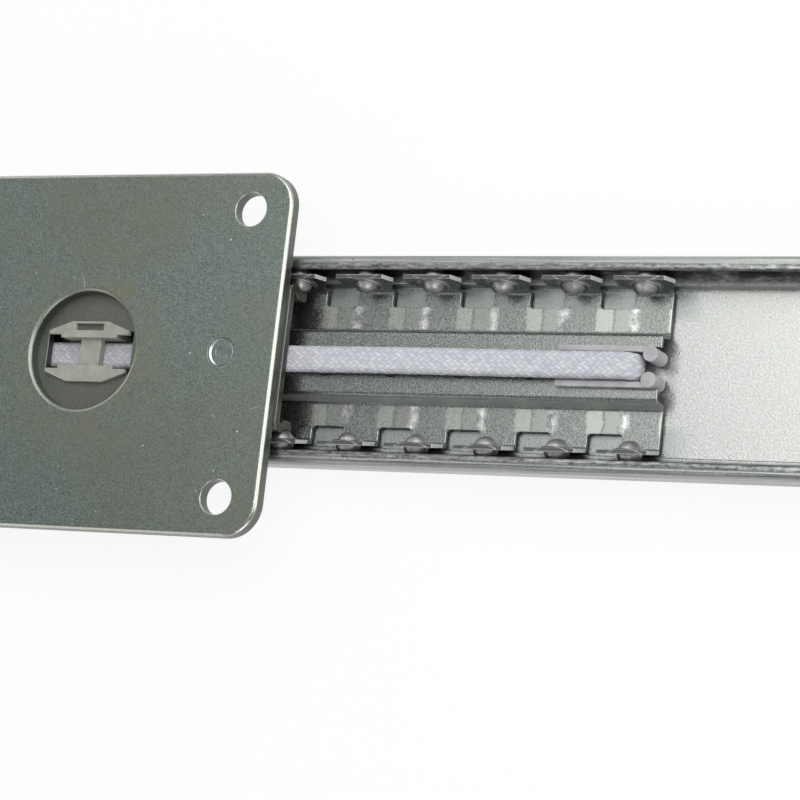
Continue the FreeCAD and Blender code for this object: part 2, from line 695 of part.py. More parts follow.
def makeGuide(name, sign):
    def along(near, far):
        return (near, far) if sign > 0 else (negative(far), negative(near))

    def place(x):
        return x if sign > 0 else negative(x)

    outer = f"({channelY} + dims.guideWall)"
    noseLow = f"({loopMiddle} - {noseRadius})"
    noseHigh = f"({loopMiddle} + {noseRadius})"
    core = f"({turnX} - {noseRadius})"
    start = f"({cageHalf} - dims.guideLength)"
    rimTop = f"({noseHigh} + dims.guideRim)"
    lobeX = f"({cageHalf} - dims.guideLobe)"
    lobeY = f"({outer} - dims.guideLobe)"
    lobeLow = "(dims.railSheet + dims.guideFloorGap)"
    lobeHigh = f"({noseHigh} + dims.guideLobeRise)"
    pieces = [
        newBox(f"{name}Tray", *along(start, turnX), negative(outer), outer, hatTop, noseHigh),
        newBox(f"{name}BackTray", *along(f"{cageHalf} - dims.guideBackLength", turnX),
               negative(outer), outer, noseLow, hatUnder),
        newBox(f"{name}Core", *along(core, turnX), negative(outer), outer, noseLow, noseHigh),
    ]
    nose = doc.addObject("Part::Cylinder", f"{name}Nose")
    nose.setExpression("Radius", noseRadius)
    nose.setExpression("Height", f"2 * {outer}")
    placeTurned(nose, place(turnX), negative(outer), loopMiddle, Rotation(Vector(1, 0, 0), -90))
    pieces.append(nose)
    # On each side a low rim along the tray, then a cheek that ends in a round lobe
    for side, low, high in ((1, channelY, outer), (-1, negative(outer), negative(channelY))):
        pieces.append(newBox(f"{name}Rim", *along(start, core), low, high, hatTop, rimTop))
        pieces.append(newBox(f"{name}Cheek", *along(core, lobeX), low, high, lobeLow, rimTop))
        pieces.append(newCylinder(f"{name}Lobe", place(lobeX), f"{side} * {lobeY}", lobeLow, lobeHigh,
                                  "dims.guideLobe"))
    return fuse(f"cord_guide_{name}", pieces)


# Cord: a flat braided loop, two straight runs and a half turn about each guide's nose

def makeCord():
    body = newBody("sync_cord")
    halfSpan = "(dims.cordWidth - dims.cordThickness) / 2"
    endRadius = "dims.cordThickness / 2"
    for name, run in (("frontRun", frontRun), ("backRun", backRun)):
        section = newSketch(body, "YZ_Plane", f"{name}Section")
        drawSlot(section, halfSpan, run, endRadius)
        addPad(body, section, name, f"2 * {turnX}")
    for name, offset, reverse in (("rightTurn", turnX, False), ("leftTurn", negative(turnX), True)):
        section = newSketch(body, "YZ_Plane", f"{name}Section", offset)
        drawSlot(section, halfSpan, frontRun, endRadius)
        centre = sectionAxis(section)
        turn = body.newObject("PartDesign::Revolution", name)
        turn.Profile = section
        turn.ReferenceAxis = (section, [centre])
        turn.Angle = 180
        turn.Reversed = reverse
        doc.recompute()
    expected = value(f"((dims.cordWidth - dims.cordThickness) * dims.cordThickness"
                     f" + pi * ({endRadius})^2) * (4 * {turnX} + 2 * pi * {loopRadius})")
    print("cord volume over section times length:", round(body.Shape.Volume / expected, 5))
    return body


def sectionAxis(section):
    # A construction line along Y at the middle of the loop, which the turn goes about
    reach = value("dims.cordWidth")
    middle = value(loopMiddle)
    line = Part.LineSegment(Vector(-reach, middle, 0), Vector(reach, middle, 0))
    axis = section.addGeometry(line, True)
    pinPoint(section, axis, 1, "-dims.cordWidth", loopMiddle)
    pinPoint(section, axis, 2, "dims.cordWidth", loopMiddle)
    return "Axis0"


# Carriage: a channel whose two legs carry the inner raceways, under a thick mounting plate

def makeChannel():
    body = newBody("carriage_channel")
    legLow = "(dims.ballHeight - dims.legDrop)"
    inner = f"({legY} - dims.carriageSheet)"
    waist = f"({rowY} - {raceRadius} - dims.carriageSheet)"
    half = [(legY, channelTop), (legY, legLow), (inner, legLow),
            (waist, "dims.ballHeight - dims.legWaist / 2"), (waist, "dims.ballHeight + dims.legWaist / 2"),
            (inner, f"{channelUnder} - dims.legRound * 2"), (inner, channelUnder)]
    profile = newSketch(body, "YZ_Plane", "channelProfile")
    drawPolygon(profile, mirrored(half))
    addPad(body, profile, "channelStrip", "dims.carriageLength")
    races = newSketch(body, "YZ_Plane", "channelRaces")
    for side in (rowY, negative(rowY)):
        drawCircle(races, side, "dims.ballHeight", raceRadius)
    addPocket(body, races, "channelRaceCut", f"dims.carriageLength * {overreach}")
    addFillet(body, "channelBends", edgesAlongX(body.Shape, bothSides([(legY, channelTop)])),
              "dims.carriageBend")
    softened = [(inner, legLow), (inner, channelUnder), (waist, "dims.ballHeight - dims.legWaist / 2"),
                (waist, "dims.ballHeight + dims.legWaist / 2")]
    addFillet(body, "legRounds", edgesAlongX(body.Shape, bothSides(softened)), "dims.legRound")
    openings = newSketch(body, "XY_Plane", "channelOpenings")
    slotX = "dims.clampSlotLength / 2"
    slotY = f"({channelY} + dims.clampWall + dims.clampSlotFit)"
    drawRectangle(openings, negative(slotX), slotX, negative(slotY), slotY)
    for side in ("dims.plateRivetSpacing / 2", "-dims.plateRivetSpacing / 2"):
        drawCircle(openings, side, "0", "dims.plateRivet / 2")
    addPocket(body, openings, "channelOpeningCut", f"{plateFront} * {2 * overreach}")
    return body


def makePlate():
    body = newBody("mounting_plate")
    outline = newSketch(body, "XY_Plane", "plateOutline", channelTop)
    drawRectangle(outline, "-dims.plateLength / 2", "dims.plateLength / 2",
                  "-dims.plateHeight / 2", "dims.plateHeight / 2")
    addPad(body, outline, "plateBlank", "dims.plateThickness", "One side")
    addFillet(body, "plateCorners", edgesAlongZ(body.Shape), "dims.plateCorner")
    holes = newSketch(body, "XY_Plane", "plateHoles", channelTop)
    for along in ("dims.plateHoleAlong / 2", "-dims.plateHoleAlong / 2"):
        for across in ("dims.plateHoleAcross / 2", "-dims.plateHoleAcross / 2"):
            drawCircle(holes, along, across, "dims.plateHole / 2")
    drawCircle(holes, "0", "0", "dims.plateWindow / 2")
    for side in ("dims.plateRivetSpacing / 2", "-dims.plateRivetSpacing / 2"):
        drawCircle(holes, side, "0", "dims.plateRivet / 2")
    addPocket(body, holes, "plateHoleCut", f"dims.plateThickness * {2 * overreach}")
    softRadii = [value("dims.plateCorner"), value("dims.plateWindow / 2")]
    soft = flatEdges(body.Shape, value(plateFront), softRadii, straight=True)
    addFillet(body, "plateEdgeRounds", soft, "dims.plateEdgeRound")
    return body


def makePlateRivets():
    radius = "(dims.plateRivet / 2 - dims.rivetFit)"
    bevel = f"({plateFront} - dims.rivetChamfer)"
    rivets = []
    for name, side in (("Right", "dims.plateRivetSpacing / 2"), ("Left", "-dims.plateRivetSpacing / 2")):
        shank = newCylinder(f"plateRivet{name}", side, "0", channelUnder, bevel, radius)
        crown = doc.addObject("Part::Cone", f"plateCrown{name}")
        crown.setExpression("Radius1", radius)
        crown.setExpression("Radius2", f"{radius} - dims.rivetChamfer")
        crown.setExpression("Height", "dims.rivetChamfer")
        placeTurned(crown, side, "0", bevel, Rotation())
        dimple = newCylinder(f"plateDimple{name}", side, "0", f"{plateFront} - dims.rivetDimpleDepth",
                             f"{plateFront} + dims.rivetDimpleDepth", "dims.rivetDimple / 2")
        rivets.append(cut(f"plateRivetSet{name}", fuse(f"plateRivetBlank{name}", [shank, crown]), dimple))
    return group("plate_rivets", rivets)


# Carriage cord clamp: a nylon body through the channel's slot, and a cap under the cord

def makeClamp():
    halfLength = "dims.clampLength / 2"
    wallOuter = f"({channelY} + dims.clampWall)"
    cordLow = f"({frontRun} - dims.cordThickness / 2 - dims.cordFit)"
    cordHigh = f"({frontRun} + dims.cordThickness / 2 + dims.cordFit)"
    flangeTop = f"({channelTop} + dims.clampFlangeThickness)"
    strap = "dims.clampStrap / 2"
    endX = "dims.clampFlangeLength / 2"
    endY = "dims.clampFlangeEnd / 2"
    flatX = "dims.clampFlangeFlat / 2"
    flatY = "dims.clampFlangeWidth / 2"
    mouthY = "dims.clampMouth / 2"
    body = newBody("cord_clamp_body")
    flange = newSketch(body, "XY_Plane", "clampFlange", channelTop)
    drawPolygon(flange, [(endX, negative(endY)), (endX, endY), (flatX, flatY),
                         (negative(flatX), flatY), (negative(endX), endY), (negative(endX), negative(endY)),
                         (negative(flatX), negative(flatY)), (flatX, negative(flatY))])
    addPad(body, flange, "clampFlangePad", "dims.clampFlangeThickness", "One side")
    stem = newSketch(body, "XY_Plane", "clampStem", cordLow)
    drawRectangle(stem, negative(halfLength), halfLength, negative(wallOuter), wallOuter)
    addPad(body, stem, "clampStemPad", f"{channelTop} - {cordLow}", "One side")
    bore = newSketch(body, "YZ_Plane", "clampBore")
    drawRectangle(bore, negative(channelY), channelY, f"{cordLow} - dims.cordFit", cordHigh)
    addPocket(body, bore, "clampBoreCut", f"dims.clampLength * {overreach}")
    # Open on both sides of the strap, so the cord shows, and wider past the stem's ends
    windows = newSketch(body, "XY_Plane", "clampWindows", flangeTop)
    past = f"({endX} * {overreach})"
    drawRectangle(windows, strap, past, negative(channelY), channelY)
    drawRectangle(windows, negative(past), negative(strap), negative(channelY), channelY)
    addPocket(body, windows, "clampWindowCut", f"{flangeTop} - {frontRun}", "One side")
    mouths = newSketch(body, "XY_Plane", "clampMouths", flangeTop)
    drawRectangle(mouths, halfLength, past, negative(mouthY), mouthY)
    drawRectangle(mouths, negative(past), negative(halfLength), negative(mouthY), mouthY)
    addPocket(body, mouths, "clampMouthCut", f"{flangeTop} - {frontRun}", "One side")
    dip = newSketch(body, "XY_Plane", "clampStrapDip", flangeTop)
    drawRectangle(dip, negative(halfLength), halfLength, negative(channelY), channelY)
    addPocket(body, dip, "clampStrapCut", "dims.clampStrapDrop", "One side")
    latch = newSketch(body, "XY_Plane", "clampLatch", flangeTop)
    latchHigh = f"({flatY} - dims.clampLatchInset)"
    drawRectangle(latch, "-dims.clampLatchLength / 2", "dims.clampLatchLength / 2",
                  f"{latchHigh} - dims.clampLatchWidth", latchHigh)
    addPocket(body, latch, "clampLatchCut", "dims.clampFlangeThickness", "One side")
    cap = newBox("cord_clamp_cap", negative(halfLength), halfLength, negative(wallOuter), wallOuter,
                 f"{cordLow} - dims.clampCap", cordLow)
    cap.Label = "cord_clamp_cap"
    return body, cap


stopRight = makeEndStop("right", 1)
stopLeft = makeEndStop("left", -1)
nodes = [makeRail(), stopRight[0], stopRight[1], stopLeft[0], stopLeft[1],
         group("end_stop_rivets", stopRight[2] + stopLeft[2]), *makeAnchor(),
         makeCage(), *makeBalls(), makeGuide("right", 1), makeGuide("left", -1), makeCord(),
         makeChannel(), makePlate(), makePlateRivets(), *makeClamp()]
doc.recompute()

for item in doc.Objects:
    if "Invalid" in item.State or "Error" in item.State:
        raise ValueError(f"{item.Label} failed: {item.State}")
for node in nodes:
    if node.Shape.isNull() or not node.Shape.isValid():
        raise ValueError(f"{node.Label} has no valid shape")

os.makedirs("parts", exist_ok=True)
for node in nodes:
    node.Shape.exportStep(f"parts/{node.Label}.step")
print(len(nodes), "nodes written")
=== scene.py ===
import bpy
import math
import numpy as np
from mathutils import Matrix, Vector


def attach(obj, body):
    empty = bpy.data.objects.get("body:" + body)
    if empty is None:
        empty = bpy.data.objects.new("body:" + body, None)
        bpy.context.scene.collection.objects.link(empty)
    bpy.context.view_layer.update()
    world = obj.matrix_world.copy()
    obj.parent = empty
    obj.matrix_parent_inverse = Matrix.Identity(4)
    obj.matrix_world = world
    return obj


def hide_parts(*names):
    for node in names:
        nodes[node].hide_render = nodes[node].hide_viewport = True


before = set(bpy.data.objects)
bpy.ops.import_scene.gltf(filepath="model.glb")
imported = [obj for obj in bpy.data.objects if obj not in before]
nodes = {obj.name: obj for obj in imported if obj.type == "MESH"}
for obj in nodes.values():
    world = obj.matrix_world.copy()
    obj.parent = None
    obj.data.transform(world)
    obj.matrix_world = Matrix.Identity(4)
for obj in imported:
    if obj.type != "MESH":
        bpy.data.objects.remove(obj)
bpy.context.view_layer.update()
print("stage: frame loaded,", len(nodes), "nodes")

mm = 0.001  # the cord's shape is given in millimetres, all else in metres


# Node tools

def newMaterial(name):
    material = bpy.data.materials.new(name)
    material.use_nodes = True
    tree = material.node_tree
    return material, tree, tree.nodes["Principled BSDF"]


def addNode(tree, kind, inputs=None, **settings):
    node = tree.nodes.new(kind)
    for name, setting in settings.items():
        setattr(node, name, setting)
    for key, given in (inputs or {}).items():
        if isinstance(given, bpy.types.NodeSocket):
            tree.links.new(given, node.inputs[key])
        else:
            node.inputs[key].default_value = given
    return node


def mathNode(tree, operation, *given):
    return addNode(tree, "ShaderNodeMath", dict(enumerate(given)), operation=operation).outputs[0]


def product(tree, *given):
    result = given[0]
    for other in given[1:]:
        result = mathNode(tree, "MULTIPLY", result, other)
    return result


def absolute(tree, given):
    return mathNode(tree, "ABSOLUTE", given)


def vectorNode(tree, operation, *given):
    node = addNode(tree, "ShaderNodeVectorMath", dict(enumerate(given)), operation=operation)
    return node.outputs["Value" if operation in ("DOT_PRODUCT", "LENGTH") else "Vector"]


def rangeNode(tree, given, low, high, toLow=0.0, toHigh=1.0):
    node = addNode(tree, "ShaderNodeMapRange", {"Value": given, "From Min": low, "From Max": high,
                                                "To Min": toLow, "To Max": toHigh})
    return node.outputs["Result"]


def noiseNode(tree, place, scale, detail=2.0, roughness=0.5):
    node = addNode(tree, "ShaderNodeTexNoise", {"Vector": place, "Scale": scale, "Detail": detail,
                                                "Roughness": roughness})
    return node.outputs["Fac"]


def noiseMask(tree, place, noise, limits):
    return rangeNode(tree, noiseNode(tree, place, *noise), *limits)


def bandMask(tree, given, low, high, soft):
    rise = rangeNode(tree, given, low - soft, low + soft)
    fall = rangeNode(tree, given, high - soft, high + soft, 1.0, 0.0)
    return product(tree, rise, fall)


def opaque(given):
    return (*given, 1) if isinstance(given, tuple) else given


def mixColours(tree, factor, first, second):
    inputs = {0: factor, 6: opaque(first), 7: opaque(second)}  # the mix node's colour sockets
    return addNode(tree, "ShaderNodeMix", inputs, data_type="RGBA").outputs[2]


def paint(tree, colour, tint, mask, amount=1.0):
    return mixColours(tree, product(tree, mask, amount), colour, tint)


def objectPlace(tree):
    return addNode(tree, "ShaderNodeTexCoord").outputs["Object"]


def objectNormal(tree):
    return addNode(tree, "ShaderNodeTexCoord").outputs["Normal"]


def axes(tree, vector):
    return addNode(tree, "ShaderNodeSeparateXYZ", {"Vector": vector}).outputs


def planeReach(tree, first, second):  # distance from the middle of a plane
    pair = addNode(tree, "ShaderNodeCombineXYZ", {"X": first, "Y": second}).outputs["Vector"]
    return vectorNode(tree, "LENGTH", pair)


def rivetReach(tree, parts, centre):  # distance from the nearer of two rivets along X
    along = mathNode(tree, "SUBTRACT", absolute(tree, parts["X"]), centre)
    return planeReach(tree, along, parts["Y"])


def feed(tree, shader, colour, roughness):
    tree.links.new(colour, shader.inputs["Base Color"])
    tree.links.new(roughness, shader.inputs["Roughness"])


def feedBump(tree, shader, look, height, normal=None):
    inputs = {"Height": height, "Strength": look["bump"], "Distance": look["bumpDepth"]}
    if normal is not None:
        inputs["Normal"] = normal
    bump = addNode(tree, "ShaderNodeBump", inputs)
    tree.links.new(bump.outputs["Normal"], shader.inputs["Normal"])


def newGroup(name, inputs, outputs):
    group = bpy.data.node_groups.new(name, "ShaderNodeTree")
    for socketName, start in inputs.items():
        kind = "NodeSocketColor" if isinstance(start, tuple) else "NodeSocketFloat"
        socket = group.interface.new_socket(socketName, in_out="INPUT", socket_type=kind)
        socket.default_value = opaque(start)
    for socketName, kind in outputs.items():
        group.interface.new_socket(socketName, in_out="OUTPUT", socket_type=f"NodeSocket{kind}")
    return group, group.nodes.new("NodeGroupInput").outputs, group.nodes.new("NodeGroupOutput").inputs


def useGroup(tree, group, given):
    node = tree.nodes.new("ShaderNodeGroup")
    node.node_tree = group
    for name, setting in given.items():
        node.inputs[name].default_value = opaque(setting)
    return node.outputs


def setMaterial(nodeNames, material):
    for name in nodeNames:
        mesh = nodes[name].data
        mesh.materials.clear()
        mesh.materials.append(material)


# Shared effects

effectLook = {
    "fineDetail": (2.0, 0.7), "fineRange": (0.3, 0.7), "cloudDetail": (4.0, 0.55), "cloudRange": (0.4, 0.68),
    "lineStretch": (0.012, 1.0, 1.0), "lineDetail": (3.0, 0.6), "lineRange": (0.35, 0.65),
    "edgeTurn": (0.995, 0.86), "edgeSamples": 6,
    "scratchStretch": (0.05, 1.0, 1.0), "scratchDetail": (2.0, 0.6), "scratchRange": (0.0, 0.03)}


def zincGrainGroup(look):  # fine crystal grain with cloudy staining
    group, given, out = newGroup(
        "zincGrain",
        {"Dark": (0.2, 0.2, 0.2), "Light": (0.4, 0.4, 0.4), "Stain": (0.3, 0.3, 0.2), "Stain Amount": 0.2,
         "Grain Scale": 1800.0, "Cloud Scale": 38.0, "Rough Low": 0.3, "Rough High": 0.5,
         "Speck Low": 0.33, "Speck High": 0.67},
        {"Color": "Color", "Roughness": "Float", "Height": "Float"})
    place = objectPlace(group)
    fine = noiseNode(group, place, given["Grain Scale"], *look["fineDetail"])
    cloud = noiseNode(group, place, given["Cloud Scale"], *look["cloudDetail"])
    speck = rangeNode(group, fine, given["Speck Low"], given["Speck High"])
    base = mixColours(group, speck, given["Dark"], given["Light"])
    patch = rangeNode(group, cloud, *look["cloudRange"])
    group.links.new(paint(group, base, given["Stain"], patch, given["Stain Amount"]), out["Color"])
    rough = rangeNode(group, fine, *look["fineRange"], given["Rough Low"], given["Rough High"])
    group.links.new(rough, out["Roughness"])
    group.links.new(fine, out["Height"])
    return group


def rollLinesGroup(look):  # fine lines that run along the strip
    group, given, out = newGroup("rollLines", {"Scale": 900.0}, {"Lines": "Float"})
    stretched = vectorNode(group, "MULTIPLY", objectPlace(group), look["lineStretch"])
    lines = noiseNode(group, stretched, given["Scale"], *look["lineDetail"])
    group.links.new(rangeNode(group, lines, *look["lineRange"]), out["Lines"])
    return group


def edgeWearHighlightGroup(look):  # rubbed, slightly rounded edges; the edge mask also paints a highlight along them
    group, given, out = newGroup("edgeWearHighlight", {"Radius": 0.0003}, {"Edge": "Float", "Normal": "Vector"})
    bevel = addNode(group, "ShaderNodeBevel", {"Radius": given["Radius"]}, samples=look["edgeSamples"])
    rounded = bevel.outputs["Normal"]
    normal = addNode(group, "ShaderNodeNewGeometry").outputs["Normal"]
    turn = vectorNode(group, "DOT_PRODUCT", rounded, normal)
    group.links.new(rangeNode(group, turn, *look["edgeTurn"]), out["Edge"])
    group.links.new(rounded, out["Normal"])
    return group


def scratchesGroup(look):  # sparse light scratches at one angle
    group, given, out = newGroup("scratches", {"Turn": 0.4, "Scale": 260.0, "Limit": 0.69},
                                 {"Scratch": "Float"})
    turned = addNode(group, "ShaderNodeVectorRotate", {"Vector": objectPlace(group), "Angle": given["Turn"]},
                     rotation_type="Z_AXIS").outputs["Vector"]
    stretched = vectorNode(group, "MULTIPLY", turned, look["scratchStretch"])
    lines = noiseNode(group, stretched, given["Scale"], *look["scratchDetail"])
    above = mathNode(group, "SUBTRACT", lines, given["Limit"])
    group.links.new(rangeNode(group, above, *look["scratchRange"]), out["Scratch"])
    return group


zincGrain = zincGrainGroup(effectLook)
rollLines = rollLinesGroup(effectLook)
edgeWearHighlight = edgeWearHighlightGroup(effectLook)
scratches = scratchesGroup(effectLook)
print("stage: shared effects built")


# Zinc: every plated piece starts and ends the same way

zincLook = {"speckLow": 0.33, "speckHigh": 0.67, "bumpDepth": 0.0001}


def startZinc(name, look):
    material, tree, shader = newMaterial(name)
    grain = useGroup(tree, zincGrain, {
        "Dark": look["dark"], "Light": look["light"], "Stain": look["stain"],
        "Stain Amount": look["stainAmount"], "Grain Scale": look["grainScale"],
        "Cloud Scale": look["cloudScale"], "Rough Low": look["roughLow"], "Rough High": look["roughHigh"],
        "Speck Low": look["speckLow"], "Speck High": look["speckHigh"]})
    edge = useGroup(tree, edgeWearHighlight, {"Radius": look["edgeRadius"]})
    shader.inputs["Metallic"].default_value = look["metallic"]
    return material, tree, shader, grain, edge


def endZinc(tree, shader, look, colour, roughness, height, edge):
    # rubbed edges painted lighter, which is also a painted highlight along every edge
    colour = paint(tree, colour, look["edgeHighlightColour"], edge["Edge"], look["edgeAmount"])
    smooth = mathNode(tree, "MULTIPLY_ADD", edge["Edge"], -look["edgePolish"], 1.0)
    feed(tree, shader, colour, product(tree, roughness, smooth))
    feedBump(tree, shader, look, height, edge["Normal"])


def plainZinc(name, look):
    material, tree, shader, grain, edge = startZinc(name, look)
    endZinc(tree, shader, look, grain["Color"], grain["Roughness"], grain["Height"], edge)
    return material


# Mounting plate: yellowed round the window, painted shade on its side walls and painted highlights along its
# rounded edges

plateLook = {
    **zincLook, "dark": (0.128, 0.165, 0.152), "light": (0.312, 0.375, 0.35), "stain": (0.24, 0.243, 0.185),
    "stainAmount": 0.6, "grainScale": 2200.0, "cloudScale": 22.0, "roughLow": 0.3, "roughHigh": 0.44,
    "bump": 0.4, "metallic": 0.85, "edgeRadius": 0.0005, "edgeHighlightColour": (0.85, 0.86, 0.8),
    "edgeAmount": 0.8, "edgePolish": 0.6,
    "ringColour": (0.27, 0.275, 0.19), "ringAmount": 0.75, "ringBand": (0.012, 0.026, 0.008),
    "ringNoise": (170.0, 5.0, 0.65), "ringRange": (0.38, 0.66),
    "speckColour": (0.7, 0.72, 0.7), "speckNoise": (900.0, 0.0), "speckRange": (0.845, 0.87),
    "scratchColour": (0.5, 0.53, 0.5), "scratchAmount": 0.5,
    "scratchLines": {"Turn": 1.25, "Scale": 620.0, "Limit": 0.735},
    "scratchCross": {"Turn": -0.35, "Scale": 700.0, "Limit": 0.74},
    "wallPaintedLight": (0.1, 0.105, 0.095), "wallAmount": 0.75, "wallFacing": (0.4, 0.1),
    "roundHighlightColour": (0.52, 0.525, 0.475), "roundAmount": 0.85, "roundFacing": (0.45, 0.985, 0.008),
    "roundPolish": 0.45, "windowRimHighlightColour": (0.34, 0.345, 0.29), "windowRimEnd": (0.0168, 0.0172),
    "rivetSpacing": 0.0834, "rivetClear": (0.0044, 0.0048, 0.15, 1.0)}


def plateMaterial(look):
    material, tree, shader, grain, edge = startZinc("plateZinc", look)
    place = objectPlace(tree)
    parts = axes(tree, place)
    around = planeReach(tree, parts["X"], parts["Y"])
    wander = noiseMask(tree, place, look["ringNoise"], look["ringRange"])
    ring = product(tree, bandMask(tree, around, *look["ringBand"]), wander)
    colour = paint(tree, grain["Color"], look["ringColour"], ring, look["ringAmount"])
    specks = noiseMask(tree, place, look["speckNoise"], look["speckRange"])
    colour = paint(tree, colour, look["speckColour"], specks)
    marks = [useGroup(tree, scratches, look[name])["Scratch"] for name in ("scratchLines", "scratchCross")]
    marked = mathNode(tree, "MAXIMUM", *marks)
    colour = paint(tree, colour, look["scratchColour"], marked, look["scratchAmount"])
    # painted shade on the plate's upright side walls
    upward = axes(tree, objectNormal(tree))["Z"]
    paintedWall = rangeNode(tree, upward, *look["wallFacing"])
    colour = paint(tree, colour, look["wallPaintedLight"], paintedWall, look["wallAmount"])
    # painted highlight along the rounded edges, dimmer round the window
    rounded = bandMask(tree, upward, *look["roundFacing"])
    outer = rangeNode(tree, around, *look["windowRimEnd"])  # beyond the window's rim
    roundHighlightTint = mixColours(tree, outer, look["windowRimHighlightColour"], look["roundHighlightColour"])
    colour = paint(tree, colour, roundHighlightTint, rounded, look["roundAmount"])
    polish = rangeNode(tree, product(tree, rounded, outer), 0.0, 1.0, 1.0, look["roundPolish"])
    roughness = product(tree, grain["Roughness"], polish)
    clear = rangeNode(tree, rivetReach(tree, parts, look["rivetSpacing"] / 2), *look["rivetClear"])
    rubbedEdgeHighlight = {"Edge": product(tree, edge["Edge"], clear), "Normal": edge["Normal"]}  # less rubbed-edge paint and painted highlight at the rivets
    endZinc(tree, shader, look, colour, roughness, grain["Height"], rubbedEdgeHighlight)
    return material


# Plate rivets: a shallow dish in the bump, struck a little off centre, its wall painted as a bright
# highlight

rivetLook = {
    **zincLook, "dark": (0.165, 0.2, 0.187), "light": (0.3, 0.355, 0.335), "stain": (0.22, 0.25, 0.23),
    "stainAmount": 0.4, "grainScale": 1600.0, "cloudScale": 160.0, "roughLow": 0.3, "roughHigh": 0.46,
    "bump": 0.8, "bumpDepth": 0.0004, "metallic": 0.85, "edgeRadius": 0.00025,
    "edgeHighlightColour": (0.6, 0.62, 0.6), "edgeAmount": 0.2, "edgePolish": 0.3, "grainShare": 0.03,
    "dishFrom": 0.0038, "dishTo": 0.0047, "dishShift": 0.0012, "wallSoft": 0.0002,
    "wallPaintedLight": (0.75, 0.79, 0.76), "wallAmount": 0.6, "wallPolish": 0.6}


def rivetMaterial(look, spacing):
    material, tree, shader, grain, edge = startZinc("plateRivetZinc", look)
    parts = axes(tree, objectPlace(tree))
    around = rivetReach(tree, parts, spacing / 2 + look["dishShift"])
    dish = addNode(tree, "ShaderNodeMapRange", {"Value": around, "From Min": look["dishFrom"],
                                                "From Max": look["dishTo"]}, interpolation_type="SMOOTHSTEP")
    height = mathNode(tree, "MULTIPLY_ADD", grain["Height"], look["grainShare"], dish.outputs["Result"])
    # painted highlight on the dish's wall, a bright crescent on one side of each rivet
    paintedWall = bandMask(tree, around, look["dishFrom"], look["dishTo"], look["wallSoft"])
    colour = paint(tree, grain["Color"], look["wallPaintedLight"], paintedWall, look["wallAmount"])
    polish = rangeNode(tree, paintedWall, 0.0, 1.0, 1.0, look["wallPolish"])
    endZinc(tree, shader, look, colour, product(tree, grain["Roughness"], polish), height, edge)
    return material


setMaterial(["mounting_plate"], plateMaterial(plateLook))
setMaterial(["plate_rivets"], rivetMaterial(rivetLook, plateLook["rivetSpacing"]))
print("stage: plate dressed")


# Rail: fine lines along its rolled lips, a torn cut edge, painted shade with grease in the race under the
# lips, painted shade on the web under the cage and a bright grained web

railLook = {
    **zincLook, "dark": (0.4, 0.41, 0.395), "light": (0.68, 0.69, 0.67), "stain": (0.52, 0.545, 0.505),
    "stainAmount": 0.25, "grainScale": 1700.0, "cloudScale": 30.0, "roughLow": 0.26, "roughHigh": 0.42,
    "bump": 0.55, "metallic": 0.95, "edgeRadius": 0.0003, "edgeHighlightColour": (0.85, 0.86, 0.84),
    "edgeAmount": 0.5, "edgePolish": 0.3,
    "lipDark": (0.25, 0.265, 0.25), "lipLight": (0.54, 0.555, 0.53), "lipFrom": (0.0216, 0.0222),
    "lineScale": 1500.0,
    "tornColour": (0.07, 0.075, 0.072), "tornAmount": 0.92, "tornBand": (0.0222, 0.0251, 0.0002),
    "tornStretch": (0.35, 1.0, 1.0), "tornNoise": (1300.0, 4.0, 0.7), "tornRange": (0.34, 0.66),
    "greaseShadeColour": (0.05, 0.05, 0.048), "greaseShadeHeight": (0.0062, 0.0121, 0.0004),
    "greaseShadeBand": (0.0211, 0.0258, 0.0004), "greaseShadeNoise": (180.0, 3.0), "greaseShadeRange": (0.3, 0.6),
    "cageShadeColour": (0.24, 0.29, 0.27), "cageShadeAmount": 0.5, "cageShadeBand": (0.0135, 0.0215, 0.0008),
    "cageShadeEnd": (0.166, 0.158)}


def railMaterial(look):
    material, tree, shader, grain, edge = startZinc("railZinc", look)
    place = objectPlace(tree)
    parts = axes(tree, place)
    across = absolute(tree, parts["Y"])
    lines = useGroup(tree, rollLines, {"Scale": look["lineScale"]})["Lines"]
    lip = mixColours(tree, lines, look["lipDark"], look["lipLight"])
    onLip = rangeNode(tree, across, *look["lipFrom"])
    colour = mixColours(tree, onLip, grain["Color"], lip)
    stretched = vectorNode(tree, "MULTIPLY", place, look["tornStretch"])
    ragged = noiseMask(tree, stretched, look["tornNoise"], look["tornRange"])
    torn = product(tree, bandMask(tree, across, *look["tornBand"]), ragged)
    colour = paint(tree, colour, look["tornColour"], torn, look["tornAmount"])
    # painted shade with grease, broken up by noise, in the race under the lips
    race = bandMask(tree, parts["Z"], *look["greaseShadeHeight"])
    inside = bandMask(tree, across, *look["greaseShadeBand"])
    greaseShadeBreakup = noiseMask(tree, place, look["greaseShadeNoise"], look["greaseShadeRange"])
    colour = paint(tree, colour, look["greaseShadeColour"], product(tree, race, inside, greaseShadeBreakup))
    under = rangeNode(tree, absolute(tree, parts["X"]), *look["cageShadeEnd"])  # painted shade on the web below the cage at rest
    cageShaded = product(tree, bandMask(tree, across, *look["cageShadeBand"]), under)
    colour = paint(tree, colour, look["cageShadeColour"], cageShaded, look["cageShadeAmount"])
    height = mathNode(tree, "ADD", grain["Height"], product(tree, lines, onLip))
    endZinc(tree, shader, look, colour, grain["Roughness"], height, edge)
    return material


stopLook = {**railLook, "dark": (0.3, 0.31, 0.3), "light": (0.5, 0.51, 0.49), "grainScale": 1300.0}
stopRivetLook = {**rivetLook, "dark": (0.26, 0.27, 0.27), "light": (0.44, 0.45, 0.44), "bump": 0.3,
                 "bumpDepth": 0.0001}
setMaterial(["rail"], railMaterial(railLook))
setMaterial(["end_stop_left", "end_stop_right"], plainZinc("stopZinc", stopLook))
setMaterial(["end_stop_rivets", "rail_clamp_rivets"], plainZinc("rivetSteel", stopRivetLook))
print("stage: rail dressed")
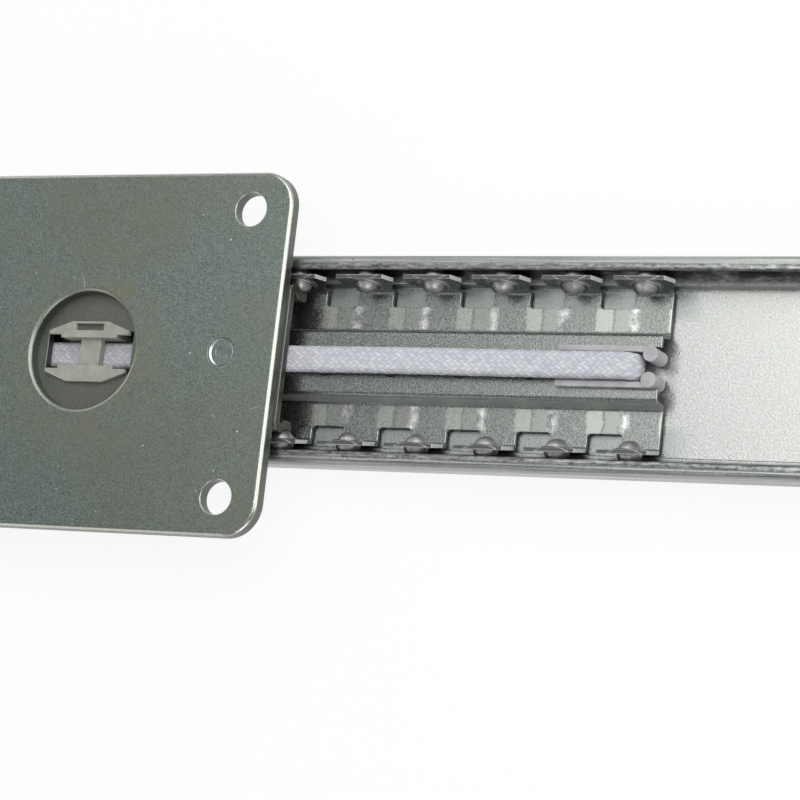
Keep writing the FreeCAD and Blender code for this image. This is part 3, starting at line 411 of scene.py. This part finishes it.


# Ball cage: stamped strip with burnished tool marks beside each window, painted highlights and painted
# shade, repeated at each ball

cageLook = {
    **zincLook, "dark": (0.225, 0.24, 0.23), "light": (0.48, 0.5, 0.475), "stain": (0.29, 0.305, 0.275),
    "stainAmount": 0.35, "grainScale": 2700.0, "cloudScale": 60.0, "roughLow": 0.2, "roughHigh": 0.36,
    "bump": 0.4, "speckLow": 0.42, "speckHigh": 0.72, "metallic": 0.97, "edgeRadius": 0.00022,
    "edgeHighlightColour": (0.85, 0.86, 0.84), "edgeAmount": 0.85, "edgePolish": 0.4,
    "pitch": 0.01905, "pitchesBefore": 20, "wobble": 0.0016, "wobbleScale": 420.0,
    "stripBand": (0.0100, 0.0157, 0.0002), "stripTop": (0.0052, 0.0046),
    "patchHighlight": (0.57, 0.585, 0.545), "patchAmount": 0.8, "patchBand": (0.0047, 0.0090, 0.0002),
    "patchTwoReflection": (0.45, 0.465, 0.435), "patchTwoAmount": 0.75,
    "patchTwoBand": (0.0096, 0.0133, 0.0002),
    "highlightColour": (0.92, 0.92, 0.9), "rootHighlightAmount": 0.9, "rootHighlightBand": (0.0138, 0.0158, 0.0008),
    "rootHighlightNoise": (330.0, 3.0, 0.6), "rootHighlightRange": (0.38, 0.6),
    "tabShade": (0.2, 0.215, 0.205), "tabShadeAmount": 0.5, "tabHeight": (0.0062, 0.0085),
    "tabFrom": (0.0165, 0.0175),
    "deepShade": (0.03, 0.032, 0.03), "slotShadeAmount": 0.85, "slotFacing": (0.85, 0.97),
    "shearColour": (0.1, 0.107, 0.103), "shearAmount": 0.85, "shearFacing": (0.7, 0.4),
    "cornerAmount": 0.25, "cornerFacing": (0.25, 0.75, 0.05),
    "ballHeight": 0.00925, "seatAmount": 0.8, "seatFrom": (0.0155, 0.0165), "seatReach": (0.0036, 0.0033),
    "rimAmount": 0.6, "rimReach": (0.0036, 0.0041, 0.00015), "rimTop": (0.0029, 0.0024),
    "hatWallLight": (0.86, 0.88, 0.85), "hatWallLightAmount": 0.8, "hatWallFacing": (0.5, 0.8),
    "hatWallBand": (0.0084, 0.0095, 0.0003), "mattAmount": 0.25}


def cageMaterial(look):
    material, tree, shader, grain, edge = startZinc("cageZinc", look)
    place = objectPlace(tree)
    parts = axes(tree, place)
    facing = axes(tree, objectNormal(tree))
    across = absolute(tree, parts["Y"])
    sway = mathNode(tree, "SUBTRACT", noiseNode(tree, place, look["wobbleScale"]), 0.5)
    swayed = mathNode(tree, "ADD", parts["X"], product(tree, sway, look["wobble"]))
    shifted = mathNode(tree, "ADD", swayed, look["pitchesBefore"] * look["pitch"])  # never below zero
    step = mathNode(tree, "MODULO", shifted, look["pitch"])  # 0 at each ball

    # tool marks on the flat strip: burnished patches whose two tones are painted reflections of their tilt,
    # and a painted highlight by each tab root
    flat = rangeNode(tree, parts["Z"], *look["stripTop"])
    strip = product(tree, bandMask(tree, across, *look["stripBand"]), flat)
    patch = product(tree, strip, bandMask(tree, step, *look["patchBand"]))
    patchTwo = product(tree, strip, bandMask(tree, step, *look["patchTwoBand"]))
    broken = noiseMask(tree, place, look["rootHighlightNoise"], look["rootHighlightRange"])
    rootHighlight = product(tree, strip, bandMask(tree, step, *look["rootHighlightBand"]), broken)

    # tabs in painted shade, their sheared edges, the walls of the slots in painted shade and a painted
    # highlight on each chamfered corner
    risen = rangeNode(tree, parts["Z"], *look["tabHeight"])
    tab = product(tree, risen, rangeNode(tree, across, *look["tabFrom"]))
    slot = rangeNode(tree, absolute(tree, facing["X"]), *look["slotFacing"])
    sheared = product(tree, tab, rangeNode(tree, absolute(tree, facing["Y"]), *look["shearFacing"]))
    corner = product(tree, sheared, bandMask(tree, facing["X"], *look["cornerFacing"]))

    # painted shade round each ball's seat and a painted highlight on its rim
    beside = mathNode(tree, "MINIMUM", step, mathNode(tree, "SUBTRACT", look["pitch"], step))
    above = mathNode(tree, "SUBTRACT", parts["Z"], look["ballHeight"])
    around = planeReach(tree, beside, above)
    beyond = rangeNode(tree, across, *look["seatFrom"])
    seat = product(tree, rangeNode(tree, around, *look["seatReach"]), beyond)
    below = rangeNode(tree, above, *look["rimTop"])
    rim = product(tree, bandMask(tree, around, *look["rimReach"]), beyond, below)

    # painted light on the upright walls of the raised middle, lifting them as if lit from below
    upright = rangeNode(tree, absolute(tree, facing["Y"]), *look["hatWallFacing"])
    hatWall = product(tree, bandMask(tree, across, *look["hatWallBand"]), upright)

    colour = grain["Color"]
    layers = [(patch, "patchHighlight", "patchAmount"), (patchTwo, "patchTwoReflection", "patchTwoAmount"),
              (rootHighlight, "highlightColour", "rootHighlightAmount"), (tab, "tabShade", "tabShadeAmount"),
              (slot, "deepShade", "slotShadeAmount"), (sheared, "shearColour", "shearAmount"),
              (corner, "highlightColour", "cornerAmount"), (seat, "deepShade", "seatAmount"),
              (rim, "patchHighlight", "rimAmount"), (hatWall, "hatWallLight", "hatWallLightAmount")]
    for mask, tint, amount in layers:
        colour = paint(tree, colour, look[tint], mask, look[amount])
    grained = mathNode(tree, "SUBTRACT", 1.0, mathNode(tree, "MAXIMUM", patch, patchTwo))
    height = product(tree, mathNode(tree, "SUBTRACT", grain["Height"], 0.5), grained)
    matt = product(tree, mathNode(tree, "MAXIMUM", sheared, hatWall), look["mattAmount"])
    roughness = mathNode(tree, "ADD", grain["Roughness"], matt)
    endZinc(tree, shader, look, colour, roughness, height, edge)
    return material


setMaterial(["ball_cage"], cageMaterial(cageLook))


# Carriage channel: dull, with painted shade, streaked, on its end faces

carriageLook = {
    **zincLook, "dark": (0.145, 0.157, 0.135), "light": (0.21, 0.222, 0.195), "stain": (0.185, 0.192, 0.16),
    "stainAmount": 0.5, "grainScale": 2400.0, "cloudScale": 60.0, "roughLow": 0.32, "roughHigh": 0.48,
    "bump": 0.25, "metallic": 0.8, "edgeRadius": 0.0003, "edgeHighlightColour": (0.45, 0.46, 0.44),
    "edgeAmount": 0.55, "edgePolish": 0.2, "endShade": (0.05, 0.05, 0.045), "endFacing": (0.5, 0.9),
    "streakStretch": (1.0, 0.15, 1.0), "streakNoise": (1800.0, 3.0, 0.6),
    "streakRange": (0.3, 0.75, 0.95, 0.55)}


def carriageMaterial(look):
    material, tree, shader, grain, edge = startZinc("carriageZinc", look)
    end = rangeNode(tree, absolute(tree, axes(tree, objectNormal(tree))["X"]), *look["endFacing"])
    stretched = vectorNode(tree, "MULTIPLY", objectPlace(tree), look["streakStretch"])
    streak = noiseMask(tree, stretched, look["streakNoise"], look["streakRange"])
    # painted shade on the end faces, streaked
    colour = paint(tree, grain["Color"], look["endShade"], end, streak)
    endZinc(tree, shader, look, colour, grain["Roughness"], grain["Height"], edge)
    return material


setMaterial(["carriage_channel"], carriageMaterial(carriageLook))
print("stage: cage and carriage dressed")


# Bearing balls: steel with a thin film of grease

ballLook = {"clean": (0.46, 0.46, 0.45), "film": (0.24, 0.24, 0.225), "roughLow": 0.42, "roughHigh": 0.55,
            "filmNoise": (380.0, 3.0, 0.6), "filmRange": (0.42, 0.66)}


def ballMaterial(look):
    material, tree, shader = newMaterial("ballSteel")
    film = noiseMask(tree, objectPlace(tree), look["filmNoise"], look["filmRange"])
    roughness = rangeNode(tree, film, 0.0, 1.0, look["roughLow"], look["roughHigh"])
    feed(tree, shader, mixColours(tree, film, look["clean"], look["film"]), roughness)
    shader.inputs["Metallic"].default_value = 1.0
    return material


balls = [name for name in nodes if name.startswith(("ball_upper", "ball_lower"))]
setMaterial(balls, ballMaterial(ballLook))


# Nylon mouldings: milky, with a fine moulded grain

nylonLook = {"hazeRange": (0.35, 0.65), "hazeDetail": 3.0, "grainNoise": (2600.0, 2.0),
             "grainRange": (0.3, 0.7), "bump": 0.15, "bumpDepth": 0.0001, "edgeRadius": 0.0002,
             "subsurfaceRadius": (0.0016, 0.0015, 0.0013), "refraction": 1.5}


def nylonMaterial(name, look):
    material, tree, shader = newMaterial(name)
    place = objectPlace(tree)
    haze = noiseMask(tree, place, (look["hazeScale"], look["hazeDetail"]), look["hazeRange"])
    grain = noiseNode(tree, place, *look["grainNoise"])
    roughness = rangeNode(tree, grain, *look["grainRange"], look["roughLow"], look["roughHigh"])
    feed(tree, shader, mixColours(tree, haze, look["dark"], look["light"]), roughness)
    edge = useGroup(tree, edgeWearHighlight, {"Radius": look["edgeRadius"]})
    feedBump(tree, shader, look, grain, edge["Normal"])
    shader.inputs["Subsurface Weight"].default_value = look["subsurface"]
    shader.inputs["Subsurface Radius"].default_value = look["subsurfaceRadius"]
    shader.inputs["Subsurface Scale"].default_value = 1.0
    shader.inputs["Transmission Weight"].default_value = look["clear"]
    shader.inputs["IOR"].default_value = look["refraction"]
    return material


guideLook = {**nylonLook, "dark": (0.37, 0.37, 0.38), "light": (0.49, 0.49, 0.505), "hazeScale": 210.0,
             "roughLow": 0.32, "roughHigh": 0.46, "subsurface": 0.5, "clear": 0.0}
clampLook = {**nylonLook, "dark": (0.37, 0.37, 0.32), "light": (0.47, 0.47, 0.415), "hazeScale": 320.0,
             "roughLow": 0.25, "roughHigh": 0.4, "subsurface": 0.35, "clear": 0.2}
anchorLook = {**clampLook, "dark": (0.4, 0.4, 0.37), "light": (0.5, 0.5, 0.47), "clear": 0.0}
setMaterial(["cord_guide_left", "cord_guide_right"], nylonMaterial("guideNylon", guideLook))
setMaterial(["cord_clamp_body", "cord_clamp_cap"], nylonMaterial("clampNylon", clampLook))
setMaterial(["rail_clamp_base", "rail_clamp_cap"], nylonMaterial("anchorNylon", anchorLook))


# Buffers: dark rubber

bufferLook = {"dark": (0.012, 0.012, 0.013), "light": (0.03, 0.03, 0.032), "roughLow": 0.55,
              "roughHigh": 0.75, "bloomNoise": (140.0, 3.0), "bloomRange": (0.4, 0.7),
              "grainNoise": (1500.0, 3.0, 0.6), "grainRange": (0.3, 0.7), "bump": 0.3, "bumpDepth": 0.0001}


def rubberMaterial(look):
    material, tree, shader = newMaterial("bufferRubber")
    place = objectPlace(tree)
    bloom = noiseMask(tree, place, look["bloomNoise"], look["bloomRange"])
    grain = noiseNode(tree, place, *look["grainNoise"])
    roughness = rangeNode(tree, grain, *look["grainRange"], look["roughLow"], look["roughHigh"])
    feed(tree, shader, mixColours(tree, bloom, look["dark"], look["light"]), roughness)
    feedBump(tree, shader, look, grain)
    return material


setMaterial(["stop_buffer_left", "stop_buffer_right"], rubberMaterial(bufferLook))
print("stage: balls, mouldings and buffers dressed")


# Cord: a flat herringbone braid, each strand over two and under two

cordShape = {"turnX": 148.7, "middleZ": 8.35, "turnRadius": 3.25, "width": 7.0, "thickness": 3.0,
             "relief": 0.28, "strands": 16, "stitch": 1.9, "step": 0.25, "around": 72, "repeat": 4.0,
             "strandRound": 0.96, "bodyShare": 0.45, "liftShare": 0.55, "liftLeast": 0.4,
             "phases": (1.0, 3.0), "evenLeast": 0.6, "bow": 0.2, "bowFrom": 30.0, "bowTo": 130.0}
cordLook = {"hollowShadeAndSoil": (0.44, 0.447, 0.49), "top": (0.71, 0.72, 0.755), "roughLow": 0.6, "roughHigh": 0.8,
            "fibreNoise": (3200.0, 2.0, 0.7), "fibreRange": (0.3, 0.7), "fuzzRange": (0.25, 0.75, 0.75, 1.1),
            "weaveRange": (0.45, 0.95), "soilNoise": (90.0, 3.0), "soilRange": (0.3, 0.7),
            "soilAmount": 0.12, "bump": 0.5, "bumpDepth": 0.0002, "sheen": 0.15}


def scatter(first, second):  # the same number from 0 to 1 each time for a pair
    wave = np.sin(first * 12.9898 + second * 78.233) * 43758.5453
    return wave - np.floor(wave)


def strandHeight(across, other, phase, shape):
    index = np.floor(across)
    side = (across - index - 0.5) * 2.0
    body = np.sqrt(np.clip(1.0 - side * side * shape["strandRound"], 0.0, 1.0))
    lift = 0.5 + 0.5 * np.cos(2.0 * math.pi * (index + other - phase) / shape["repeat"])
    fullness = shape["liftLeast"] + (1.0 - shape["liftLeast"]) * body
    return shape["bodyShare"] * body + shape["liftShare"] * lift * fullness


def braidHeight(along, around, perimeter, shape):
    count = shape["strands"]
    lead = shape["stitch"] * count
    one = count * (around / perimeter - along / lead)
    two = count * (around / perimeter + along / lead)
    least = shape["evenLeast"]
    even = least + (1.0 - least) * scatter(np.floor(one), np.floor(two))  # no two stitches quite alike
    onePhase, twoPhase = shape["phases"]
    upper = np.maximum(strandHeight(one, two, onePhase, shape), strandHeight(two, one, twoPhase, shape))
    return upper * even


def stadium(distances, half, radius):  # middle and outward way, round two straights and two half turns
    straight, bend = 2 * half, math.pi * radius
    rows = []
    for distance in distances:
        if distance < straight:
            rows.append((distance - half, 0.0, 1.0))
        elif distance < straight + bend:
            turn = (distance - straight) / radius
            rows.append((half, math.sin(turn), math.cos(turn)))
        elif distance < 2 * straight + bend:
            rows.append((half - (distance - straight - bend), 0.0, -1.0))
        else:
            turn = (distance - 2 * straight - bend) / radius
            rows.append((-half, -math.sin(turn), -math.cos(turn)))
    return np.array(rows).T


def cordPoints(shape):
    # route: front run, right turn, back run, left turn
    straight = 2 * shape["turnX"]
    total = 2 * (straight + math.pi * shape["turnRadius"])
    rows = round(total / shape["step"])
    along = np.arange(rows) * total / rows
    centreX, outX, outZ = (row[:, None] for row in stadium(along, shape["turnX"], shape["turnRadius"]))
    # section: offsets across the cord and out from the loop
    flat = (shape["width"] - shape["thickness"]) / 2
    radius = shape["thickness"] / 2
    perimeter = 4 * flat + 2 * math.pi * radius
    around = np.arange(shape["around"]) * perimeter / shape["around"]
    middle, facingSide, facingOut = stadium(around, flat, radius)
    facingSide = -facingSide
    stitches = 2 * round(total / (2 * shape["stitch"]))
    scaled = along * stitches * shape["stitch"] / total  # whole stitches round the loop
    height = braidHeight(scaled[:, None], around[None, :], perimeter, shape)
    drop = (height - 1.0) * shape["relief"]
    reach = shape["turnRadius"] + (radius + drop) * facingOut
    part = np.clip((centreX - shape["bowFrom"]) / (shape["bowTo"] - shape["bowFrom"]), 0.0, 1.0)
    front = along[:, None] < straight
    bow = shape["bow"] * 0.5 * (1.0 - np.cos(2.0 * math.pi * part)) * front
    x = centreX + outX * reach
    y = (radius + drop) * facingSide - middle + bow
    z = shape["middleZ"] + outZ * reach
    return np.stack([x, y, z], axis=-1) * mm, height


def makeCord(shape, look):
    points, height = cordPoints(shape)
    rows, columns = height.shape
    i, j = np.meshgrid(np.arange(rows), np.arange(columns), indexing="ij")
    nextI, nextJ = (i + 1) % rows, (j + 1) % columns
    quads = np.stack([i * columns + j, i * columns + nextJ, nextI * columns + nextJ, nextI * columns + j],
                     axis=-1)
    mesh = bpy.data.meshes.new("cordBraid")
    mesh.from_pydata(points.reshape(-1, 3).tolist(), [], quads.reshape(-1, 4).tolist())
    mesh.shade_smooth()
    weave = mesh.attributes.new("weave", "FLOAT", "POINT")
    weave.data.foreach_set("value", height.reshape(-1).astype(np.float32))
    cord = bpy.data.objects.new("cordBraid", mesh)
    bpy.context.scene.collection.objects.link(cord)
    mesh.materials.append(cordMaterial(look))
    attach(cord, "cage_body")
    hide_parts("sync_cord")


def cordMaterial(look):
    material, tree, shader = newMaterial("cordYarn")
    place = objectPlace(tree)
    weave = addNode(tree, "ShaderNodeAttribute", attribute_name="weave").outputs["Fac"]
    fibre = noiseNode(tree, place, *look["fibreNoise"])
    raised = rangeNode(tree, weave, *look["weaveRange"])
    fuzz = product(tree, raised, rangeNode(tree, fibre, *look["fuzzRange"]))
    # the braid's hollows painted darker as shade; soiled patches take the same colour
    colour = mixColours(tree, fuzz, look["hollowShadeAndSoil"], look["top"])
    soil = noiseMask(tree, place, look["soilNoise"], look["soilRange"])
    colour = paint(tree, colour, look["hollowShadeAndSoil"], soil, look["soilAmount"])
    roughness = rangeNode(tree, fibre, *look["fibreRange"], look["roughLow"], look["roughHigh"])
    feed(tree, shader, colour, roughness)
    feedBump(tree, shader, look, fibre)
    shader.inputs["Sheen Weight"].default_value = look["sheen"]
    return material


makeCord(cordShape, cordLook)
print("stage: cord braided")


# Camera: the photograph's viewing angle, long lens

cameraPlace = {"location": (0.4252, -0.1402, 0.6688), "view": (-0.447, 0.174, -0.8775),
               "up": (-0.0222, 0.9784, 0.2054), "lens": 135.1, "sensor": 36.0,
               "clipFrom": 0.01, "clipTo": 60.0}


def makeCamera(given):
    data = bpy.data.cameras.new("camera")
    data.sensor_width = given["sensor"]
    data.lens = given["lens"]
    data.clip_start = given["clipFrom"]
    data.clip_end = given["clipTo"]
    camera = bpy.data.objects.new("camera", data)
    bpy.context.scene.collection.objects.link(camera)
    back = -Vector(given["view"]).normalized()
    right = Vector(given["up"]).cross(back).normalized()
    up = back.cross(right)
    turn = Matrix((right, up, back)).transposed().to_4x4()
    camera.matrix_world = Matrix.Translation(given["location"]) @ turn
    bpy.context.scene.camera = camera


# Stage: a wide pale floor with a raised rim, plain soft studio light

stageLook = {"floorRadius": 16.0, "rimHeight": 3.0, "corners": 64, "floorDrop": 0.0002,
             "floorColour": (0.9, 0.9, 0.9), "floorRough": 0.8, "floorGlow": 0.9,
             "worldColour": (0.96, 0.98, 1.0), "worldStrength": 0.2}
lamps = [
    {"name": "topLamp", "place": (0.33, 0.48, 1.0), "aim": (0.28, 0.0, 0.0), "size": 1.3, "watts": 11.2},
    {"name": "sideLamp", "place": (1.2, 0.15, 0.6), "aim": (0.0, 0.0, 0.0), "size": 0.9, "watts": 5.5},
    {"name": "lowLamp", "place": (0.45, -1.0, 0.55), "aim": (0.0, 0.0, 0.0), "size": 0.7, "watts": 3.5},
    {"name": "backLamp", "place": (-1.1, 0.75, 0.6), "aim": (0.0, 0.0, 0.0), "size": 0.9, "watts": 3.5},
    {"name": "farLamp", "place": (-1.0, -0.95, 0.7), "aim": (0.0, 0.0, 0.0), "size": 0.9, "watts": 3.0}]


def floorMaterial(look):
    material, tree, shader = newMaterial("floorPale")
    shader.inputs["Base Color"].default_value = opaque(look["floorColour"])
    shader.inputs["Roughness"].default_value = look["floorRough"]
    path = addNode(tree, "ShaderNodeLightPath").outputs
    mirrored = mathNode(tree, "MAXIMUM", path["Is Glossy Ray"], path["Is Transmission Ray"])
    seen = mathNode(tree, "MAXIMUM", path["Is Camera Ray"], mirrored)
    share = product(tree, seen, look["floorGlow"])  # the rest keeps the shadow
    white = addNode(tree, "ShaderNodeEmission", {"Strength": 1.0})
    mixed = addNode(tree, "ShaderNodeMixShader", {0: share, 1: shader.outputs[0], 2: white.outputs[0]})
    tree.links.new(mixed.outputs[0], tree.nodes["Material Output"].inputs["Surface"])
    return material


def makeFloor(look):
    mesh = bpy.data.meshes.new("floor")
    corners, radius = look["corners"], look["floorRadius"]
    turns = [2 * math.pi * i / corners for i in range(corners)]
    points = [(radius * math.cos(turn), radius * math.sin(turn), z)
              for z in (0.0, look["rimHeight"]) for turn in turns]
    rim = [(i, i + corners, (i + 1) % corners + corners, (i + 1) % corners) for i in range(corners)]
    mesh.from_pydata(points, [], [tuple(range(corners)), *rim])
    mesh.materials.append(floorMaterial(look))
    floor = bpy.data.objects.new("floor", mesh)
    bpy.context.scene.collection.objects.link(floor)
    floor.location.z = -look["floorDrop"]


def makeLight(look):
    world = bpy.data.worlds.new("studio")
    bpy.context.scene.world = world
    world.use_nodes = True
    background = world.node_tree.nodes["Background"]
    background.inputs["Color"].default_value = opaque(look["worldColour"])
    background.inputs["Strength"].default_value = look["worldStrength"]
    for lamp in lamps:
        data = bpy.data.lights.new(lamp["name"], "AREA")
        data.energy = lamp["watts"]
        data.size = lamp["size"]
        light = bpy.data.objects.new(lamp["name"], data)
        light.location = lamp["place"]
        aim = Vector(lamp["aim"]) - Vector(lamp["place"])
        light.rotation_mode = "QUATERNION"
        light.rotation_quaternion = aim.to_track_quat("-Z", "Y")
        bpy.context.scene.collection.objects.link(light)


makeCamera(cameraPlace)
makeFloor(stageLook)
makeLight(stageLook)
bpy.context.scene.view_settings.view_transform = "Standard"
print("stage: camera and light set")
